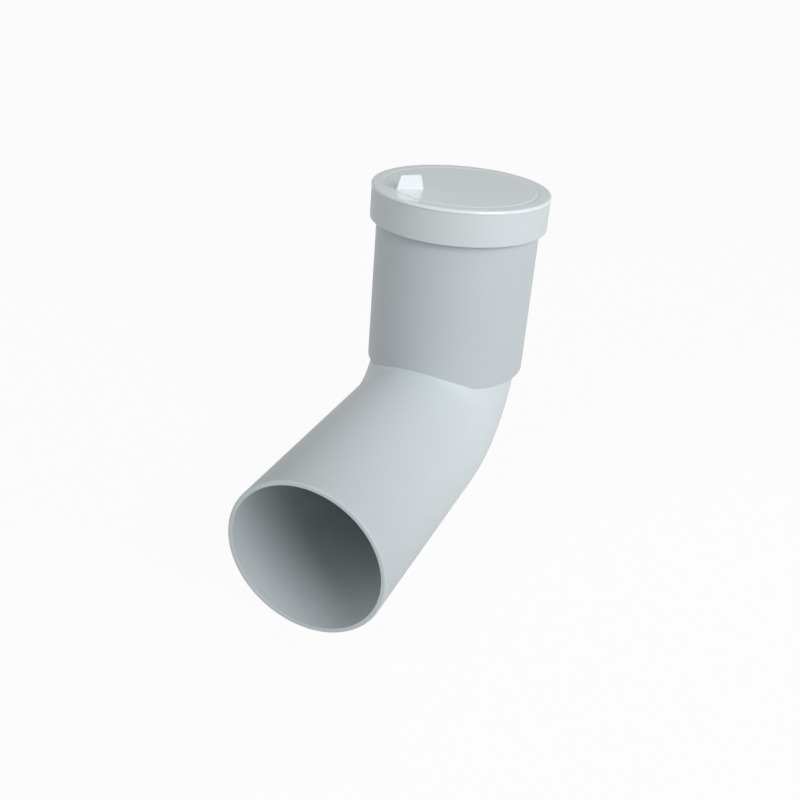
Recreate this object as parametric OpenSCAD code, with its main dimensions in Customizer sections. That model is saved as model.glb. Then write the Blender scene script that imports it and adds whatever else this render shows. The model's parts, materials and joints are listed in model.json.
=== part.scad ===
// Toilet pan bend: a drain pipe bend whose upper end is a socket for the pan's outlet.
// Lengths are in millimetres. The origin is the centre of the spigot's cut end, -Y points
// out of that end, and the bend lies in the YZ plane with its socket upwards.

/* [Pipe] */
// Outside diameter of the pipe
pipe_d = 110; // [90:1:140]
// Wall of the pipe and the bend
pipe_wall = 3.2; // [2.4:0.1:5]
// Straight length of the spigot leg, from its cut end to the bend
leg_len = 164.2; // [90:0.1:400]

/* [Bend] */
// Angle through which the pipe turns
bend_angle = 87.5; // [80:0.5:95]
// Radius inside the throat, from the centre of the bend to the outside of the pipe
throat_r = 5.5; // [1:0.5:40]

/* [Socket] */
// How far the socket stands proud of the pipe, on the radius
socket_step = 4.4; // [3.6:0.1:8]
// Wall of the socket
socket_wall = 3.2; // [2.4:0.1:4]
// Depth of the socket, from its end face to the stop where the pipe's bore begins
socket_depth = 107.2; // [60:0.1:160]
// How far the socket's outside runs down past the stop, over the start of the bend
skirt_lap = 15.8; // [6:0.1:20]
// Rounding of the moulded lower edges of the socket and the collar
edge_r = 0.7; // [0.3:0.1:1.5]

/* [Collar] */
// Height of the collar that holds the seal on the socket
collar_h = 22.8; // [18:0.1:40]
// Wall of the collar round the socket
collar_wall = 4.8; // [4:0.1:8]
// Wall of the collar round the seal's head
pocket_wall = 2.4; // [1.6:0.1:3.2]
// Thickness of the collar's top flange, over the seal's head
collar_top = 2.4; // [1.6:0.1:4]
// How far the collar's opening stands back from the socket's bore
mouth_rebate = 1.8; // [0.6:0.1:3]
// Height of the snap bead inside the collar
snap_h = 2.4; // [1.5:0.1:4]
// How far the snap bead reaches into the socket's groove
snap_reach = 0.6; // [0.3:0.1:1.2]
// Depth of the snap bead's upper edge below the end of the socket
snap_drop = 7.2; // [3:0.1:9]

/* [Seal] */
// Height of the seal's head, clamped between the collar and the socket
head_h = 6; // [3:0.1:10]
// How far the seal's foot reaches down into the socket
foot_len = 25.5; // [22:0.5:50]
// Wall of the seal's foot
foot_wall = 1.3; // [0.8:0.1:2]
// Number of lips
lip_count = 2; // [1:1:2]
// Height of one lip, from its root to its tip
lip_h = 8; // [4:0.5:8]
// How far a lip stands in from the foot while the cap's skirt presses it back
lip_reach = 1.3; // [1:0.1:2]
// Distance from one lip to the next
lip_pitch = 9.5; // [9:0.5:14]

/* [Cap] */
// Thickness of the cap's top plate
cap_t = 2.2; // [1.6:0.1:4]
// How far the cap's plate overhangs the collar
cap_overhang = 0.4; // [0:0.1:2]
// Rounding of the plate's upper rim
rim_r = 1.7; // [0.4:0.1:2]
// Wall of the skirt that plugs the seal
skirt_wall = 1.6; // [1:0.1:3]
// Depth of the skirt below the plate
skirt_len = 20; // [8:0.5:30]
// Width of the groove round the cap's centre panel
groove_w = 3.5; // [1.5:0.1:5]
// Depth of that groove
groove_depth = 1.1; // [0.4:0.1:1.2]

/* [Pull tab] */
// Length of the tab's root, along the radius of the cap
tab_root = 21; // [12:0.5:26]
// Length of the tab's upper edge
tab_top = 16.2; // [8:0.1:18]
// Height of the tab
tab_h = 9.8; // [6:0.1:20]
// Thickness of the tab
tab_t = 2; // [1:0.1:4]
// Rounding of the tab's upper corners
tab_corner = 2.4; // [1:0.1:4]
// Distance from the tab's root to the edge of the centre panel
tab_inset = 1.5; // [0.5:0.1:8]
// Direction of the tab, seen from above and counted from +X
tab_angle = 229; // [0:1:359]

/* [Fits] */
// Clearance on the radius between parts that are pushed together by hand
push_gap = 0.1; // [0.05:0.01:0.3]
// Clearance on the radius between the cap's skirt and the seal's lips
skirt_gap = 0.3; // [0.1:0.05:0.6]
// Clearance under the cap's plate
cap_seat = 0.1; // [0.05:0.05:0.4]

/* [Hidden] */
$fn = 128;
overcut = 1;

pipe_r = pipe_d / 2;
bore_r = pipe_r - pipe_wall;
bend_r = pipe_r + throat_r;

socket_r = pipe_r + socket_step;
socket_bore_r = socket_r - socket_wall;

// Heights on the socket's axis, counted from the stop inside it
head_top = socket_depth + head_h;
seam_h = head_top + collar_top;
snap_top = socket_depth - snap_drop;

collar_bore_r = socket_r + push_gap;
collar_r = collar_bore_r + collar_wall;
pocket_r = collar_r - pocket_wall;
mouth_r = socket_bore_r + mouth_rebate;

foot_r = socket_bore_r - push_gap;
foot_bore_r = foot_r - foot_wall;
lip_tip_r = foot_bore_r - lip_reach;
lip_t = 0.7 * lip_reach;

skirt_r = lip_tip_r - skirt_gap;
cap_r = collar_r + cap_overhang;
plate_z = seam_h + cap_seat;
groove_arc_r = (groove_w * groove_w / 4 + groove_depth * groove_depth) / (2 * groove_depth);

plastic_grey = [0.78, 0.81, 0.82];
collar_grey = [0.81, 0.84, 0.85];
cap_grey = [0.83, 0.86, 0.87];
seal_grey = [0.16, 0.17, 0.18];

// Places its children on the socket's axis, with z = 0 at the stop and +Z out of the socket.
module on_socket() {
    translate([0, leg_len + bend_r * sin(bend_angle), bend_r * (1 - cos(bend_angle))])
        rotate([bend_angle - 90, 0, 0])
            children();
}

// The solid run of a round bar along the leg and the bend. overrun carries it past both ends.
module pipe_run(r, overrun) {
    overrun_angle = overrun / bend_r * 180 / PI;
    translate([0, -overrun, 0])
        rotate([-90, 0, 0])
            cylinder(r = r, h = leg_len + overrun);
    translate([0, leg_len, bend_r])
        rotate([0, 90, 0])
            rotate_extrude(angle = bend_angle + overrun_angle)
                translate([bend_r, 0])
                    circle(r = r);
}

// A square from r1 to r2 and from z1 to z2 in the plane that is turned round an axis.
module band(r1, r2, z1, z2) {
    translate([r1, z1])
        square([r2 - r1, z2 - z1]);
}

// The same square with its outer lower corner rounded.
module band_soft_foot(r1, r2, z1, z2, round_r) {
    band(r1, r2, z1 + round_r, z2);
    band(r1, r2 - round_r, z1, z1 + round_r);
    translate([r2 - round_r, z1 + round_r])
        circle(r = round_r, $fn = 32);
}

// Outside of the socket, a solid bar with a rounded foot and a groove for the collar's bead.
module socket_outside() {
    rotate_extrude()
        difference() {
            band_soft_foot(0, socket_r, -skirt_lap, socket_depth, edge_r);
            band(socket_r - snap_reach, socket_r + overcut,
                snap_top - snap_h - 2 * push_gap, snap_top);
        }
}

// The moulding: long spigot leg, short bend and socket in one piece, with one bore through.
module bend_body() {
    color(plastic_grey)
        difference() {
            union() {
                pipe_run(pipe_r, 0);
                on_socket()
                    socket_outside();
            }
            pipe_run(bore_r, overcut);
            on_socket()
                cylinder(r = socket_bore_r, h = socket_depth + overcut);
        }
}

// The ring that snaps over the socket's end and clamps the seal's head in its pocket.
module collar_ring() {
    bead_top = snap_top - push_gap;
    color(collar_grey)
        on_socket()
            rotate_extrude() {
                difference() {
                    band_soft_foot(mouth_r, collar_r, seam_h - collar_h, seam_h, edge_r);
                    band(mouth_r - overcut, pocket_r, socket_depth, head_top);
                    band(mouth_r - overcut, collar_bore_r, seam_h - collar_h - overcut, socket_depth);
                }
                band(collar_bore_r - snap_reach, collar_bore_r + overcut, bead_top - snap_h, bead_top);
            }
}

// One lip in section: root on the foot's bore, tip bent down and inwards, from z downwards.
module lip_section(z) {
    polygon([
        [foot_bore_r + foot_wall / 2, z],
        [foot_bore_r, z],
        [foot_bore_r - 0.6 * lip_reach, z - 0.35 * lip_h],
        [lip_tip_r, z - 0.8 * lip_h],
        [lip_tip_r, z - lip_h],
        [lip_tip_r + lip_t, z - lip_h],
        [foot_bore_r, z - 0.5 * lip_h],
        [foot_bore_r + foot_wall / 2, z - 0.5 * lip_h]
    ]);
}

// The rubber seal: head in the collar's pocket, foot in the socket's bore, lips on the foot.
module lip_seal() {
    head_r = pocket_r - push_gap;
    funnel_h = head_h - foot_wall;
    color(seal_grey)
        on_socket()
            rotate_extrude() {
                polygon([
                    [foot_bore_r, socket_depth - foot_len],
                    [foot_r, socket_depth - foot_len],
                    [foot_r, socket_depth],
                    [head_r, socket_depth],
                    [head_r, head_top],
                    [mouth_r - push_gap, head_top],
                    [foot_bore_r + foot_wall, head_top - 0.35 * funnel_h],
                    [foot_bore_r, head_top - funnel_h]
                ]);
                for (i = [0 : lip_count - 1])
                    lip_section(socket_depth - foot_wall - i * lip_pitch);
            }
}

// Section of the cap's top plate, from the axis out to the rounded rim.
module plate_section() {
    difference() {
        union() {
            band(0, cap_r - rim_r, plate_z, plate_z + cap_t);
            band(0, cap_r, plate_z, plate_z + cap_t - rim_r);
            translate([cap_r - rim_r, plate_z + cap_t - rim_r])
                circle(r = rim_r, $fn = 48);
        }
        translate([skirt_r + groove_w / 2, plate_z + cap_t - groove_depth + groove_arc_r])
            circle(r = groove_arc_r, $fn = 64);
        band(0, cap_r, plate_z - overcut - rim_r, plate_z);
    }
}

// Outline of the pull tab, rising from z = 0 with its lower edge on the X axis.
module tab_outline() {
    slope = (tab_root - tab_top) / 2;
    polygon([
        [0, -cap_t / 2],
        [tab_root, -cap_t / 2],
        [tab_root, 0],
        each [for (a = [0 : 10 : 90])
            [tab_root - slope - tab_corner * (1 - cos(a)), tab_h - tab_corner * (1 - sin(a))]],
        each [for (a = [90 : 10 : 180])
            [slope + tab_corner * (1 + cos(a)), tab_h - tab_corner * (1 - sin(a))]],
        [0, 0]
    ]);
}

// The cap that closes the socket until it is fitted: plate, plug skirt and pull tab.
module protective_cap() {
    color(cap_grey)
        on_socket() {
            rotate_extrude() {
                plate_section();
                band(skirt_r - skirt_wall, skirt_r, plate_z - skirt_len, plate_z + cap_t / 3);
            }
            rotate([0, 0, tab_angle])
                translate([skirt_r - tab_inset - tab_root, tab_t / 2, plate_z + cap_t])
                    rotate([90, 0, 0])
                        linear_extrude(height = tab_t)
                            tab_outline();
        }
}

bend_body();
collar_ring();
lip_seal();
protective_cap();
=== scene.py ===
import json
import math

import bmesh
import bpy
import numpy as np
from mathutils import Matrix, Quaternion, Vector


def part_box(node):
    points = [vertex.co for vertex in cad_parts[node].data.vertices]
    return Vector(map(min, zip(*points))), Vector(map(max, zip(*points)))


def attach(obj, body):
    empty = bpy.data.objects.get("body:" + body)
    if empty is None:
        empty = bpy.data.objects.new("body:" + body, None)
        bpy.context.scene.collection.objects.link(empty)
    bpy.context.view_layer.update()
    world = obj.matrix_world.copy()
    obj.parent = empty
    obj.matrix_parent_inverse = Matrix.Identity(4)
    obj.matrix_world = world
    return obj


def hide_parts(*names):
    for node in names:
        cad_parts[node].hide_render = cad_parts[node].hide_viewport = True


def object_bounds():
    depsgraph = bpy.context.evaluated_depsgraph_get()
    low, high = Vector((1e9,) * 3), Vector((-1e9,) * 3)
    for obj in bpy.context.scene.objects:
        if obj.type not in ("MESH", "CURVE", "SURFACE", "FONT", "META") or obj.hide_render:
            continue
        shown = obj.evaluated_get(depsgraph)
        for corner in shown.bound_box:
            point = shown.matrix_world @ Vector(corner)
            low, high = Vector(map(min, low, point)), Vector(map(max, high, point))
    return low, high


# Toilet pan bend: smooth skins, plastics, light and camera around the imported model.
# Blender works in metres. Sizes that are written in millimetres are multiplied by MM.

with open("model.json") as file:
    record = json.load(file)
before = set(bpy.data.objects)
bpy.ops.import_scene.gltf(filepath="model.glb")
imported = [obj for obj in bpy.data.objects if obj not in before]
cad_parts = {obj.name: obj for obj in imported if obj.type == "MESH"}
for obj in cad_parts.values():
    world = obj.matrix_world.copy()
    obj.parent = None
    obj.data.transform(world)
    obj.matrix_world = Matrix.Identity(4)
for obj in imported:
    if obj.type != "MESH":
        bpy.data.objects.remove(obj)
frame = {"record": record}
cad_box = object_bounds()

MM = 0.001


def half_width(node):
    """Radius of a node that is round about an axis in the YZ plane: half its size along X."""
    low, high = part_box(node)
    return (high.x - low.x) / 2


mounts = {mount["name"]: mount for mount in frame["record"]["mounts"]}

# Radii that the frame gives
PIPE_R = mounts["spigot"]["dims"]["r_mm"] * MM
SOCKET_R = half_width("bend_body")
COLLAR_R = half_width("collar_ring")
SEAL_HEAD_R = half_width("lip_seal")
CAP_R = half_width("protective_cap")

# Pipe and bend
PIPE_WALL = 3.2 * MM
LEG_LEN = 164.2 * MM
BEND_ANGLE = math.radians(87.5)
THROAT_R = 5.5 * MM
BORE_R = PIPE_R - PIPE_WALL
BEND_R = PIPE_R + THROAT_R
RUN_LEN = LEG_LEN + BEND_R * BEND_ANGLE
STOP_Y = LEG_LEN + BEND_R * math.sin(BEND_ANGLE)
STOP_Z = BEND_R * (1 - math.cos(BEND_ANGLE))
CUT_OUTER_R = 1.2 * MM
CUT_INNER_R = 0.3 * MM

# Socket, with heights counted along its axis from the stop
SOCKET_WALL = 3.2 * MM
SOCKET_DEPTH = 107.2 * MM
SKIRT_LAP = 15.8 * MM
SOCKET_BORE_R = SOCKET_R - SOCKET_WALL
MOULD_EDGE_R = 0.7 * MM
SMALL_EDGE_R = 0.3 * MM

# Collar
COLLAR_H = 22.8 * MM
POCKET_WALL = 2.4 * MM
COLLAR_TOP = 2.4 * MM
HEAD_H = 6.0 * MM
PUSH_GAP = 0.1 * MM
SNAP_H = 2.4 * MM
SNAP_REACH = 0.6 * MM
SNAP_DROP = 7.2 * MM
MOUTH_REBATE = 1.8 * MM
SNAP_TOP = SOCKET_DEPTH - SNAP_DROP
HEAD_TOP = SOCKET_DEPTH + HEAD_H
SEAM_H = HEAD_TOP + COLLAR_TOP
COLLAR_BORE_R = SOCKET_R + PUSH_GAP
MOUTH_R = SOCKET_BORE_R + MOUTH_REBATE

# Seal
FOOT_LEN = 25.5 * MM
FOOT_WALL = 1.3 * MM
FOOT_R = SOCKET_BORE_R - PUSH_GAP
FOOT_BORE_R = FOOT_R - FOOT_WALL
LIP_COUNT = 2
LIP_H = 8.0 * MM
LIP_REACH = 1.3 * MM
LIP_T = 0.7 * LIP_REACH
LIP_PITCH = 9.5 * MM
LIP_TIP_R = FOOT_BORE_R - LIP_REACH
RUBBER_EDGE_R = 0.25 * MM

# Cap and its pull tab
CAP_T = 2.2 * MM
RIM_R = 1.7 * MM
SKIRT_GAP = 0.3 * MM
CAP_SEAT = 0.1 * MM
SKIRT_R = LIP_TIP_R - SKIRT_GAP
SKIRT_WALL = 1.6 * MM
SKIRT_LEN = 20.0 * MM
PLATE_Z = SEAM_H + CAP_SEAT
GROOVE_W = 3.5 * MM
GROOVE_DEPTH = 0.35 * MM
GROOVE_LIP_R = 0.5 * MM
TAB_ROOT = 21.0 * MM
TAB_TOP = 16.2 * MM
TAB_H = 9.8 * MM
TAB_T = 2.0 * MM
TAB_CORNER_R = 2.4 * MM
TAB_EDGE_R = 0.7 * MM
TAB_INSET = 1.5 * MM
TAB_ANGLE = math.radians(229.0)

# How finely the skins are divided, and what joins or parts their faces
TURNS = 256
LONGEST_SIDE = 4.0 * MM
TAB_LONGEST_SIDE = 1.0 * MM
ARC_STEPS = 6
SAME_POINT = 1e-9
WELD_DISTANCE = 1e-6
CREASE = math.radians(32)

# How far the bores' cutting bars stand out of what they cut
OVERCUT = 1.0 * MM
END_OVERCUT = 2.0 * MM


def bent_axis(along, radius, angle):
    """Points round the run's centre line: straight along +Y for the leg, then an arc of BEND_R.

    centre = (0, leg + R sin t, R - R cos t) with t = (along - leg) / R, and the point lies at
    radius * (cos angle, sin angle) across it, in the X axis and the arc's inward normal.
    """
    turn = np.clip((along - LEG_LEN) / BEND_R, 0.0, None)
    straight = np.minimum(along, LEG_LEN)
    inward = radius * np.sin(angle)
    x = radius * np.cos(angle)
    y = straight + (BEND_R - inward) * np.sin(turn)
    z = BEND_R - (BEND_R - inward) * np.cos(turn)
    return np.stack([x, y, z], axis=-1)


def socket_axis(along, radius, angle):
    """Points round the socket's straight axis, with along = 0 at the stop.

    point = stop + along * axis + radius * (cos angle * X + sin angle * across).
    """
    across = np.array([0.0, math.sin(BEND_ANGLE), -math.cos(BEND_ANGLE)])
    axis = np.array([0.0, math.cos(BEND_ANGLE), math.sin(BEND_ANGLE)])
    stop = np.array([0.0, STOP_Y, STOP_Z])
    sideways = np.stack([radius * np.cos(angle), radius * np.sin(angle)], axis=-1)
    return (
        stop
        + along[..., None] * axis
        + sideways[..., :1] * np.array([1.0, 0.0, 0.0])
        + sideways[..., 1:] * across
    )


def soft_corners(corners):
    """Closed section whose corners are arcs. Each corner is (radius, along, rounding).

    The arc's centre lies on the corner's bisector at rounding / sin(half angle), and its points
    turn evenly from one tangent point to the other.
    """
    table = np.array(corners, dtype=float)
    point, rounding = table[:, :2], table[:, 2:3]
    back = np.roll(point, 1, axis=0) - point
    ahead = np.roll(point, -1, axis=0) - point
    back /= np.linalg.norm(back, axis=1, keepdims=True)
    ahead /= np.linalg.norm(ahead, axis=1, keepdims=True)
    half = np.arccos(np.clip((back * ahead).sum(axis=1, keepdims=True), -1, 1)) / 2
    bisector = back + ahead
    bisector /= np.linalg.norm(bisector, axis=1, keepdims=True)
    centre = point + bisector * rounding / np.sin(half)
    first = point + back * rounding / np.tan(half) - centre
    last = point + ahead * rounding / np.tan(half) - centre
    sweep = np.pi - 2 * half
    share = np.linspace(0, 1, ARC_STEPS + 1)[None, :, None]
    turned = (
        np.sin((1 - share) * sweep[:, None]) * first[:, None]
        + np.sin(share * sweep[:, None]) * last[:, None]
    ) / np.sin(sweep)[:, None]
    section = (centre[:, None] + turned).reshape(-1, 2)
    gap = np.linalg.norm(np.roll(section, -1, axis=0) - section, axis=1)
    return section[gap > SAME_POINT]


def short_sides(section, longest=LONGEST_SIDE):
    """The same closed section with its long sides cut into equal steps no longer than longest."""
    ahead = np.roll(section, -1, axis=0)
    steps = np.linalg.norm(ahead - section, axis=1) / longest
    count = np.maximum(1, np.ceil(steps)).astype(int)
    side = np.repeat(np.arange(len(section)), count)
    step = np.arange(count.sum()) - np.repeat(np.cumsum(count) - count, count)
    share = (step / count[side])[:, None]
    return section[side] * (1 - share) + ahead[side] * share


def closed_grid(points):
    """Quads of a grid of points that closes on itself in both directions."""
    rows, columns = points.shape[:2]
    index = np.arange(rows * columns).reshape(rows, columns)
    down = np.roll(index, -1, axis=0)
    quads = np.stack([index, np.roll(index, -1, axis=1), np.roll(down, -1, axis=1), down], axis=-1)
    return points.reshape(-1, 3), quads.reshape(-1, 4).tolist()


def solid_object(name, points, faces):
    """Mesh object of a closed surface, welded at its poles and with its faces outwards."""
    mesh = bpy.data.meshes.new(name)
    mesh.from_pydata(points.tolist(), [], faces)
    work = bmesh.new()
    work.from_mesh(mesh)
    bmesh.ops.remove_doubles(work, verts=work.verts, dist=WELD_DISTANCE)
    bmesh.ops.recalc_face_normals(work, faces=work.faces)
    work.to_mesh(mesh)
    work.free()
    made = bpy.data.objects.new(name, mesh)
    bpy.context.scene.collection.objects.link(made)
    return made


def turned_solid(name, section, axis):
    """Section of (radius, along) points carried once round an axis, as a closed surface."""
    angle = np.linspace(0, 2 * np.pi, TURNS, endpoint=False)[None, :]
    points = axis(
        np.repeat(section[:, 1:], TURNS, axis=1),
        np.repeat(section[:, :1], TURNS, axis=1),
        np.repeat(angle, len(section), axis=0),
    )
    return solid_object(name, *closed_grid(points))


def combine(base, other, operation):
    """Joins other to base or cuts it away, and removes other."""
    modifier = base.modifiers.new("join", "BOOLEAN")
    modifier.operation = operation
    modifier.solver = "MANIFOLD"
    modifier.object = other
    keep_modified(base)
    bpy.data.objects.remove(other)


def keep_modified(made):
    """Writes the result of a piece's modifiers into its mesh."""
    bpy.context.view_layer.update()
    graph = bpy.context.evaluated_depsgraph_get()
    mesh = bpy.data.meshes.new_from_object(made.evaluated_get(graph))
    made.modifiers.clear()
    made.data = mesh
    mesh.name = made.name


def smooth(made):
    """Smooth shading that keeps creases, with flat faces ruling the normals beside them."""
    made.data.shade_smooth()
    made.data.set_sharp_from_angle(angle=CREASE)
    modifier = made.modifiers.new("flat faces rule", "WEIGHTED_NORMAL")
    modifier.keep_sharp = True
    keep_modified(made)


def bar(radius, start, end, rounding):
    """Closed section of a solid round bar, with both ends' edges rounded."""
    return short_sides(soft_corners([
        (0, start, 0),
        (radius, start, rounding),
        (radius, end, rounding),
        (0, end, 0),
    ]))


def bore_section():
    """Section of the pipe's bore, widening in an arc where it meets the cut end."""
    share = np.linspace(0, np.pi / 2, ARC_STEPS + 1)
    flare = np.stack([
        BORE_R + CUT_INNER_R * (1 - np.sin(share)),
        CUT_INNER_R * (1 - np.cos(share)),
    ], axis=-1)
    before = [(0, -END_OVERCUT), (BORE_R + CUT_INNER_R, -END_OVERCUT)]
    after = [(BORE_R, RUN_LEN + OVERCUT), (0, RUN_LEN + OVERCUT)]
    return short_sides(np.vstack([before, flare, after]))


def socket_section():
    """Section of the socket's outside, with its rounded foot and the groove for the collar."""
    groove_r = SOCKET_R - SNAP_REACH
    groove_foot = SNAP_TOP - SNAP_H - 2 * PUSH_GAP
    return short_sides(soft_corners([
        (0, -SKIRT_LAP, 0),
        (SOCKET_R, -SKIRT_LAP, MOULD_EDGE_R),
        (SOCKET_R, groove_foot, 0),
        (groove_r, groove_foot, 0),
        (groove_r, SNAP_TOP, 0),
        (SOCKET_R, SNAP_TOP, 0),
        (SOCKET_R, SOCKET_DEPTH, SMALL_EDGE_R),
        (0, SOCKET_DEPTH, 0),
    ]))


def build_bend_body():
    """The moulding: leg, bend and socket as one skin, cut by the bore and the socket's bore."""
    body = turned_solid("bend_moulding", bar(PIPE_R, 0, RUN_LEN, CUT_OUTER_R), bent_axis)
    combine(body, turned_solid("socket", socket_section(), socket_axis), "UNION")
    combine(body, turned_solid("bore", bore_section(), bent_axis), "DIFFERENCE")
    wide = bar(SOCKET_BORE_R, 0, SOCKET_DEPTH + OVERCUT, SMALL_EDGE_R)
    combine(body, turned_solid("socket_bore", wide, socket_axis), "DIFFERENCE")
    return body


def build_collar():
    """The snap-on ring: rounded outside, open mouth, pocket for the seal and snap bead."""
    foot = SEAM_H - COLLAR_H
    bead_top = SNAP_TOP - PUSH_GAP
    bead_r = COLLAR_BORE_R - SNAP_REACH
    pocket_r = COLLAR_R - POCKET_WALL
    return turned_solid("snap_collar", short_sides(soft_corners([
        (COLLAR_R, foot, MOULD_EDGE_R),
        (COLLAR_R, SEAM_H, SMALL_EDGE_R),
        (MOUTH_R, SEAM_H, SMALL_EDGE_R),
        (MOUTH_R, HEAD_TOP, SMALL_EDGE_R),
        (pocket_r, HEAD_TOP, 0),
        (pocket_r, SOCKET_DEPTH, 0),
        (COLLAR_BORE_R, SOCKET_DEPTH, 0),
        (COLLAR_BORE_R, bead_top, 0),
        (bead_r, bead_top, SMALL_EDGE_R),
        (bead_r, bead_top - SNAP_H, SMALL_EDGE_R),
        (COLLAR_BORE_R, bead_top - SNAP_H, 0),
        (COLLAR_BORE_R, foot, SMALL_EDGE_R),
    ])), socket_axis)


def lip_corners(root):
    """Corners of one lip, from its root down to its tip and back to the seal's foot."""
    return [
        (FOOT_BORE_R, root, 0),
        (FOOT_BORE_R - 0.6 * LIP_REACH, root - 0.35 * LIP_H, RUBBER_EDGE_R),
        (LIP_TIP_R, root - 0.8 * LIP_H, RUBBER_EDGE_R),
        (LIP_TIP_R, root - LIP_H, RUBBER_EDGE_R),
        (LIP_TIP_R + LIP_T, root - LIP_H, RUBBER_EDGE_R),
        (FOOT_BORE_R, root - 0.5 * LIP_H, 0),
    ]


def build_seal():
    """The rubber seal: clamped head, funnel, foot and two lips pressed back by the cap."""
    funnel_h = HEAD_H - FOOT_WALL
    corners = [
        (FOOT_BORE_R, SOCKET_DEPTH - FOOT_LEN, RUBBER_EDGE_R),
        (FOOT_R, SOCKET_DEPTH - FOOT_LEN, RUBBER_EDGE_R),
        (FOOT_R, SOCKET_DEPTH, 0),
        (SEAL_HEAD_R, SOCKET_DEPTH, RUBBER_EDGE_R),
        (SEAL_HEAD_R, HEAD_TOP, RUBBER_EDGE_R),
        (MOUTH_R - PUSH_GAP, HEAD_TOP, RUBBER_EDGE_R),
        (FOOT_R, HEAD_TOP - 0.35 * funnel_h, RUBBER_EDGE_R),
        (FOOT_BORE_R, HEAD_TOP - funnel_h, RUBBER_EDGE_R),
    ]
    for number in range(LIP_COUNT):
        corners += lip_corners(SOCKET_DEPTH - FOOT_WALL - number * LIP_PITCH)
    return turned_solid("rubber_seal", short_sides(soft_corners(corners)), socket_axis)


def groove_arc():
    """The groove in the cap's plate: an arc through both edges, which are rounded, and the bottom."""
    top = PLATE_Z + CAP_T
    arc_r = (GROOVE_W ** 2 / 4 + GROOVE_DEPTH ** 2) / (2 * GROOVE_DEPTH)
    centre_r = SKIRT_R + GROOVE_W / 2
    centre_z = top - GROOVE_DEPTH + arc_r
    reach = math.asin(GROOVE_W / 2 / arc_r)
    angle = np.linspace(reach, -reach, 2 * ARC_STEPS + 1)
    arc = [[centre_r + arc_r * math.sin(a), centre_z - arc_r * math.cos(a), 0] for a in angle]
    arc[0][2] = arc[-1][2] = GROOVE_LIP_R
    return arc


def tab_outline():
    """Outline of the tab, standing on the X axis: two slanting sides and rounded upper corners."""
    slope = (TAB_ROOT - TAB_TOP) / 2
    sunk = CAP_T / 2
    lean = slope / TAB_H * sunk
    return short_sides(soft_corners([
        (-lean, -sunk, 0),
        (TAB_ROOT + lean, -sunk, 0),
        (TAB_ROOT - slope, TAB_H, TAB_CORNER_R),
        (slope, TAB_H, TAB_CORNER_R),
    ]), TAB_LONGEST_SIDE)


def build_tab():
    """The tab: its outline drawn in by an arc towards both faces, so that its edges are soft.

    inset = edge * (1 - cos t) and thickness = half - edge * (1 - sin t) for t from 0 to 90 deg.
    """
    outline = tab_outline()
    tangent = np.roll(outline, -1, axis=0) - np.roll(outline, 1, axis=0)
    tangent /= np.linalg.norm(tangent, axis=1, keepdims=True)
    inward = np.stack([-tangent[:, 1], tangent[:, 0]], axis=-1)
    turn = np.linspace(0, np.pi / 2, ARC_STEPS + 1)
    inset = TAB_EDGE_R * (1 - np.cos(turn[::-1]))
    depth = TAB_T / 2 - TAB_EDGE_R * (1 - np.sin(turn[::-1]))
    inset = np.concatenate([inset, inset[::-1]])
    depth = np.concatenate([depth, -depth[::-1]])
    flat = outline[None] + inset[:, None, None] * inward[None]
    radial = SKIRT_R - TAB_INSET - TAB_ROOT + flat[..., 0]
    side = np.broadcast_to(depth[:, None], radial.shape)
    points = socket_axis(
        PLATE_Z + CAP_T + flat[..., 1],
        np.hypot(radial, side),
        TAB_ANGLE + np.arctan2(side, radial),
    )
    rows, columns = points.shape[:2]
    index = np.arange(rows * columns).reshape(rows, columns)
    ahead = np.roll(index, -1, axis=1)
    quads = np.stack([index[:-1], ahead[:-1], ahead[1:], index[1:]], axis=-1).reshape(-1, 4)
    faces = quads.tolist() + [index[0].tolist(), index[-1][::-1].tolist()]
    return solid_object("tab", points.reshape(-1, 3), faces)


def build_cap():
    """The cap: plate with a rounded rim and a groove, plug skirt below and the pull tab above."""
    top = PLATE_Z + CAP_T
    inner_r = SKIRT_R - SKIRT_WALL
    skirt_foot = PLATE_Z - SKIRT_LEN
    corners = [
        (0, PLATE_Z, 0),
        (inner_r, PLATE_Z, SMALL_EDGE_R),
        (inner_r, skirt_foot, SMALL_EDGE_R),
        (SKIRT_R, skirt_foot, SMALL_EDGE_R),
        (SKIRT_R, PLATE_Z, 0),
        (CAP_R, PLATE_Z, SMALL_EDGE_R),
        (CAP_R, top, RIM_R),
        *groove_arc(),
        (0, top, 0),
    ]
    cap = turned_solid("pull_off_cap", short_sides(soft_corners(corners)), socket_axis)
    combine(cap, build_tab(), "UNION")
    return cap


class Signal:
    """A number that varies over a surface. Its operators add Math nodes to the material."""

    def __init__(self, finish, socket):
        self.finish = finish
        self.socket = socket

    def math(self, operation, first, second):
        node = self.finish.node("ShaderNodeMath", {"operation": operation}, {0: first, 1: second})
        return Signal(self.finish, node.outputs[0])

    def over(self, limit):
        """1 where the number is greater than the limit, and 0 elsewhere."""
        return self.math("GREATER_THAN", self, limit)

    def under(self, limit):
        """1 where the number is less than the limit, and 0 elsewhere."""
        return self.math("LESS_THAN", self, limit)

    def at_most(self, limit):
        return self.math("MINIMUM", self, limit)

    def at_least(self, limit):
        return self.math("MAXIMUM", self, limit)

    def __add__(self, other):
        return self.math("ADD", self, other)

    def __sub__(self, other):
        return self.math("SUBTRACT", self, other)

    def __rsub__(self, other):
        return self.math("SUBTRACT", other, self)

    def __mul__(self, other):
        return self.math("MULTIPLY", self, other)

    __radd__ = __add__
    __rmul__ = __mul__


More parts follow.
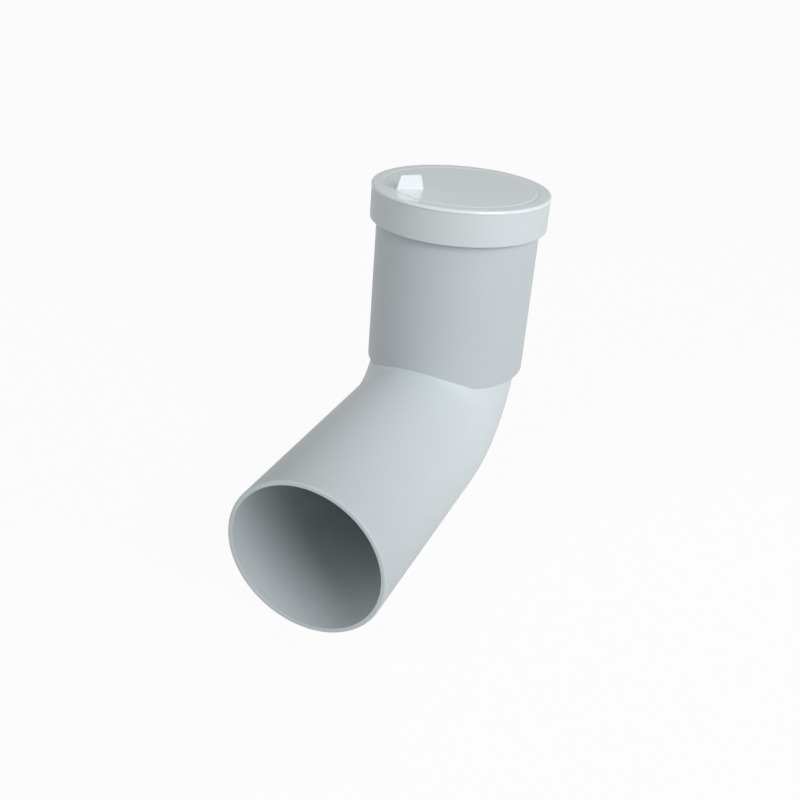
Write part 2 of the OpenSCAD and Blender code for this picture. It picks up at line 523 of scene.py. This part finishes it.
class Finish:
    """One procedural material and the method that adds any node to it."""

    def __init__(self, name):
        self.material = bpy.data.materials.new(name)
        self.material.use_nodes = True
        self.tree = self.material.node_tree
        self.shader = self.tree.nodes["Principled BSDF"]
        self.place = self.node("ShaderNodeTexCoord").outputs["Object"]

    def node(self, kind, settings=None, inputs=None):
        """Adds a node, with its settings first and then the values or links of its sockets."""
        made = self.tree.nodes.new(kind)
        for key, value in (settings or {}).items():
            setattr(made, key, value)
        for key, value in (inputs or {}).items():
            self.feed(made.inputs[key], value)
        return made

    def feed(self, socket, value):
        """Links a signal or a socket to an input, or sets the input to a constant."""
        source = value.socket if isinstance(value, Signal) else value
        if isinstance(source, bpy.types.NodeSocket):
            self.tree.links.new(source, socket)
        else:
            socket.default_value = source

    def noise(self, scale, detail):
        """Noise between 0 and 1 on the object's own coordinates, scale being features a metre."""
        wave = self.node("ShaderNodeTexNoise", {}, {
            "Vector": self.place,
            "Scale": scale,
            "Detail": detail,
        })
        return Signal(self, wave.outputs["Fac"])

    def blend(self, share, first, second):
        """Colour between first, where share is 0, and second, where it is 1."""
        mix = self.node("ShaderNodeMix", {"data_type": "RGBA"}, {"Factor": share})
        colours = [socket for socket in mix.inputs if socket.type == "RGBA"]
        self.feed(colours[0], first)
        self.feed(colours[1], second)
        return [socket for socket in mix.outputs if socket.type == "RGBA"][0]

    def relief(self, height, distance, strength):
        """Bump of that height signal, distance being its full depth in metres."""
        bump = self.node("ShaderNodeBump", {}, {
            "Height": height,
            "Distance": distance,
            "Strength": strength,
        })
        self.feed(self.shader.inputs["Normal"], bump.outputs[0])


def opaque(colour, shade=1.0):
    """Colour times a plain factor, with full alpha."""
    return (colour[0] * shade, colour[1] * shade, colour[2] * shade, 1.0)


# Colours in linear light
PIPE_GREY = (0.535, 0.588, 0.606)
# Painted light: the leg's colour pales towards the bend, standing in for the light that the bend
# catches.
BEND_PAINTED_LIGHT = (0.665, 0.725, 0.748)
# Painted shade: the socket is coloured darker than the leg, standing in for the shade that falls on
# it.
SOCKET_PAINTED_SHADE = (0.547, 0.595, 0.618)
# Painted highlight: the rounding of the cut end's edge is coloured paler, standing in for light on
# it.
CUT_PAINTED_HIGHLIGHT = (0.600, 0.655, 0.675)
COLLAR_GREY = (0.632, 0.687, 0.706)
CAP_WHITE = (0.815, 0.870, 0.892)
SEAL_BLACK = (0.014, 0.015, 0.016)

# Noise of the finishes: (features a metre, detail)
CLOUDS = (22, 3)
GLOSS_PATCHES = (60, 3)
SKIN = (900, 2)
RUBBER_BLOOM = (150, 4)
RUBBER_GRAIN = (1500, 2)

# How much that noise sways the roughness, on either side of its middle value
PATCH_SWAY = 0.10
SKIN_SWAY = 0.06
BLOOM_SWAY = 0.2

# Share of a relief's full depth that shows
SKIN_RELIEF = 0.5
RUBBER_RELIEF = 0.6

# How far the socket's painted shade reaches past its radius
SHADE_MARGIN = 0.05 * MM


def body_painted_light_and_shade(finish):
    """Painted light and shade on the moulding, as (share, colour): bend, socket and cut end.

    Painted light: the leg pales evenly towards the bend, as share = y / leg.

    Painted shade: the socket is what lies above the plane of its foot and within its radius: with a
    the bend's angle, height = y cos a + z sin a and radius^2 = x^2 + (y sin a - z cos a)^2, both
    counted from the stop. Painted highlight: the cut's share falls from 1 to 0 over the rounding
    of its edge.
    """
    place = finish.node("ShaderNodeSeparateXYZ", {}, {0: finish.place})
    x, along, up = (Signal(finish, socket) for socket in place.outputs)
    y, z = along - STOP_Y, up - STOP_Z
    height = y * math.cos(BEND_ANGLE) + z * math.sin(BEND_ANGLE)
    across = y * math.sin(BEND_ANGLE) - z * math.cos(BEND_ANGLE)
    above = height.over(-SKIRT_LAP)
    within = (x * x + across * across).under((SOCKET_R + SHADE_MARGIN) ** 2)
    cut = 1.0 - along * (1 / CUT_OUTER_R)
    return [
        ((along * (1 / LEG_LEN)).at_most(1.0), BEND_PAINTED_LIGHT),
        (above * within, SOCKET_PAINTED_SHADE),
        (cut.at_least(0.0), CUT_PAINTED_HIGHLIGHT),
    ]


def moulded_plastic(name, colour, roughness, mottle, grain_depth, ior, painted_light_and_shade=None):
    """Moulded plastic: faint cloudy shade, uneven gloss and a very fine skin.

    The function for painted light and shade, where given, returns (share, colour) pairs of painted
    light and shade to lay over the colour.
    """
    finish = Finish(name)
    cloud = finish.noise(*CLOUDS)
    skin = finish.noise(*SKIN)
    shade = finish.blend(cloud, opaque(colour, 1 - mottle), opaque(colour, 1 + mottle))
    # Lays the painted light and shade, where given, over the plastic's colour.
    for share, other in painted_light_and_shade(finish) if painted_light_and_shade else []:
        shade = finish.blend(share, shade, opaque(other))
    finish.feed(finish.shader.inputs["Base Color"], shade)
    patches = finish.noise(*GLOSS_PATCHES)
    gloss = roughness + (patches - 0.5) * PATCH_SWAY + (skin - 0.5) * SKIN_SWAY
    finish.feed(finish.shader.inputs["Roughness"], gloss)
    finish.shader.inputs["IOR"].default_value = ior
    finish.relief(skin, grain_depth, SKIN_RELIEF)
    return finish.material


def black_rubber(name, colour, roughness, bloom_shade, grain_depth):
    """Black rubber: matt, with a dusty bloom in patches."""
    finish = Finish(name)
    bloom = finish.noise(*RUBBER_BLOOM)
    shade = finish.blend(bloom, opaque(colour), opaque(colour, bloom_shade))
    finish.feed(finish.shader.inputs["Base Color"], shade)
    finish.feed(finish.shader.inputs["Roughness"], roughness + bloom * BLOOM_SWAY)
    finish.relief(finish.noise(*RUBBER_GRAIN), grain_depth, RUBBER_RELIEF)
    return finish.material


def dress(made, node, body, material):
    """Finishes a piece, parents it to its body and hides the CAD node that it stands for."""
    smooth(made)
    made.data.materials.clear()
    made.data.materials.append(material)
    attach(made, body)
    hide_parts(node)


def build_object():
    """Makes the four pieces: satin moulding and collar, matt seal and glossy cap."""
    pipe = moulded_plastic(
        "pipe_grey", PIPE_GREY,
        roughness=0.46, mottle=0.012, grain_depth=0.02 * MM, ior=1.38, painted_light_and_shade=body_painted_light_and_shade,
    )
    collar = moulded_plastic(
        "collar_grey", COLLAR_GREY,
        roughness=0.44, mottle=0.010, grain_depth=0.02 * MM, ior=1.38,
    )
    cap = moulded_plastic(
        "cap_white", CAP_WHITE,
        roughness=0.12, mottle=0.008, grain_depth=0.01 * MM, ior=1.65,
    )
    rubber = black_rubber(
        "black_rubber", SEAL_BLACK,
        roughness=0.55, bloom_shade=1.8, grain_depth=0.03 * MM,
    )
    dress(build_bend_body(), "bend_body", "bend", pipe)
    dress(build_collar(), "collar_ring", "bend", collar)
    dress(build_seal(), "lip_seal", "bend", rubber)
    dress(build_cap(), "protective_cap", "cap", cap)


# Camera, as found from the photo's outlines
CAMERA_PLACE = Vector((0.2292, -0.4191, 0.3769))
CAMERA_AZIMUTH = math.radians(22.346)
CAMERA_ELEVATION = math.radians(28.862)
CAMERA_ROLL = math.radians(3.467)
LENS_MM = 43.943
SENSOR_MM = 36.0
CLIP_START = 0.01


def outward(azimuth, elevation):
    """Unit vector that points from the object towards a place round it, 0 being along -Y."""
    level = math.cos(elevation)
    return Vector((math.sin(azimuth) * level, -math.cos(azimuth) * level, math.sin(elevation)))


def add_camera():
    """The photo's camera: its place, the direction it looks in, its roll and its lens."""
    data = bpy.data.cameras.new("camera")
    data.lens = LENS_MM
    data.sensor_width = SENSOR_MM
    data.clip_start = CLIP_START
    camera = bpy.data.objects.new("camera", data)
    bpy.context.scene.collection.objects.link(camera)
    back = outward(CAMERA_AZIMUTH, CAMERA_ELEVATION)
    camera.location = CAMERA_PLACE
    camera.rotation_mode = "QUATERNION"
    aim = (-back).to_track_quat("-Z", "Y")
    camera.rotation_quaternion = aim @ Quaternion((0, 0, 1), CAMERA_ROLL)
    bpy.context.scene.camera = camera


# Points that the lamps face
OBJECT_MIDDLE = Vector((0.0, 0.15, 0.05))
BEND_SIDE = Vector((0.04, 0.21, 0.02))

# Lamps: (name, point faced, azimuth and elevation in degrees, distance, side, watts)
LAMPS = [
    ("key", OBJECT_MIDDLE, 63, 34, 1.6, 0.9, 14.2),
    ("fill", OBJECT_MIDDLE, -38, 45, 1.8, 1.6, 4.3),
    ("bend", BEND_SIDE, 100, 25, 0.55, 0.25, 0.22),
]

# World and floor
WHITE = (1, 1, 1, 1)
WORLD_GREY = 0.395
FLOOR_GREY = 0.70
FLOOR_ROUGHNESS = 0.9
FLOOR_SELF_LIGHT = 0.94
FLOOR_SIZE = 12.0
FLOOR_GAP = 0.05 * MM


def add_lamp(name, aim, azimuth, elevation, distance, size, watts):
    """Square area lamp at that distance from the point that it faces."""
    data = bpy.data.lights.new(name, "AREA")
    data.shape = "SQUARE"
    data.size = size
    data.energy = watts
    lamp = bpy.data.objects.new(name, data)
    bpy.context.scene.collection.objects.link(lamp)
    out = outward(math.radians(azimuth), math.radians(elevation))
    lamp.location = aim + out * distance
    lamp.rotation_mode = "QUATERNION"
    lamp.rotation_quaternion = (-out).to_track_quat("-Z", "Y")


def add_world():
    """White to the camera, and an even grey room to everything else."""
    world = bpy.data.worlds.new("room")
    world.use_nodes = True
    bpy.context.scene.world = world
    tree = world.node_tree
    path = tree.nodes.new("ShaderNodeLightPath")
    room = tree.nodes["Background"]
    room.inputs["Color"].default_value = WHITE
    room.inputs["Strength"].default_value = WORLD_GREY
    white = tree.nodes.new("ShaderNodeBackground")
    white.inputs["Color"].default_value = WHITE
    white.inputs["Strength"].default_value = 1.0
    choose = tree.nodes.new("ShaderNodeMixShader")
    tree.links.new(path.outputs["Is Camera Ray"], choose.inputs[0])
    tree.links.new(room.outputs[0], choose.inputs[1])
    tree.links.new(white.outputs[0], choose.inputs[2])
    tree.links.new(choose.outputs[0], tree.nodes["World Output"].inputs["Surface"])


def add_floor():
    """Pale floor under the leg and the bend, with a faint shadow.

    The camera, reflections and glass see most of it as plain white. Other rays see it as grey.
    """
    half = FLOOR_SIZE / 2
    level = cad_box[0].z - FLOOR_GAP
    corners = np.array([(-half, -half), (half, -half), (half, half), (-half, half)])
    points = np.column_stack([corners, np.full(4, level)])
    mesh = bpy.data.meshes.new("floor")
    mesh.from_pydata(points.tolist(), [], [(0, 1, 2, 3)])
    floor = bpy.data.objects.new("floor", mesh)
    bpy.context.scene.collection.objects.link(floor)
    finish = Finish("pale_floor")
    finish.feed(finish.shader.inputs["Base Color"], opaque((FLOOR_GREY,) * 3))
    finish.feed(finish.shader.inputs["Roughness"], FLOOR_ROUGHNESS)
    finish.feed(finish.shader.inputs["Specular IOR Level"], 0.0)
    path = finish.node("ShaderNodeLightPath")
    white = finish.node("ShaderNodeEmission", {}, {"Color": WHITE, "Strength": 1.0})
    rays = ("Is Camera Ray", "Is Glossy Ray", "Is Transmission Ray")
    seen = sum(Signal(finish, path.outputs[ray]) for ray in rays).at_most(1.0)
    choose = finish.node("ShaderNodeMixShader", {}, {
        0: seen * FLOOR_SELF_LIGHT,
        1: finish.shader.outputs[0],
        2: white.outputs[0],
    })
    output = finish.tree.nodes["Material Output"]
    finish.feed(output.inputs["Surface"], choose.outputs[0])
    mesh.materials.append(finish.material)


bpy.context.scene.view_settings.view_transform = "Standard"
build_object()
add_camera()
for lamp in LAMPS:
    add_lamp(*lamp)
add_world()
add_floor()
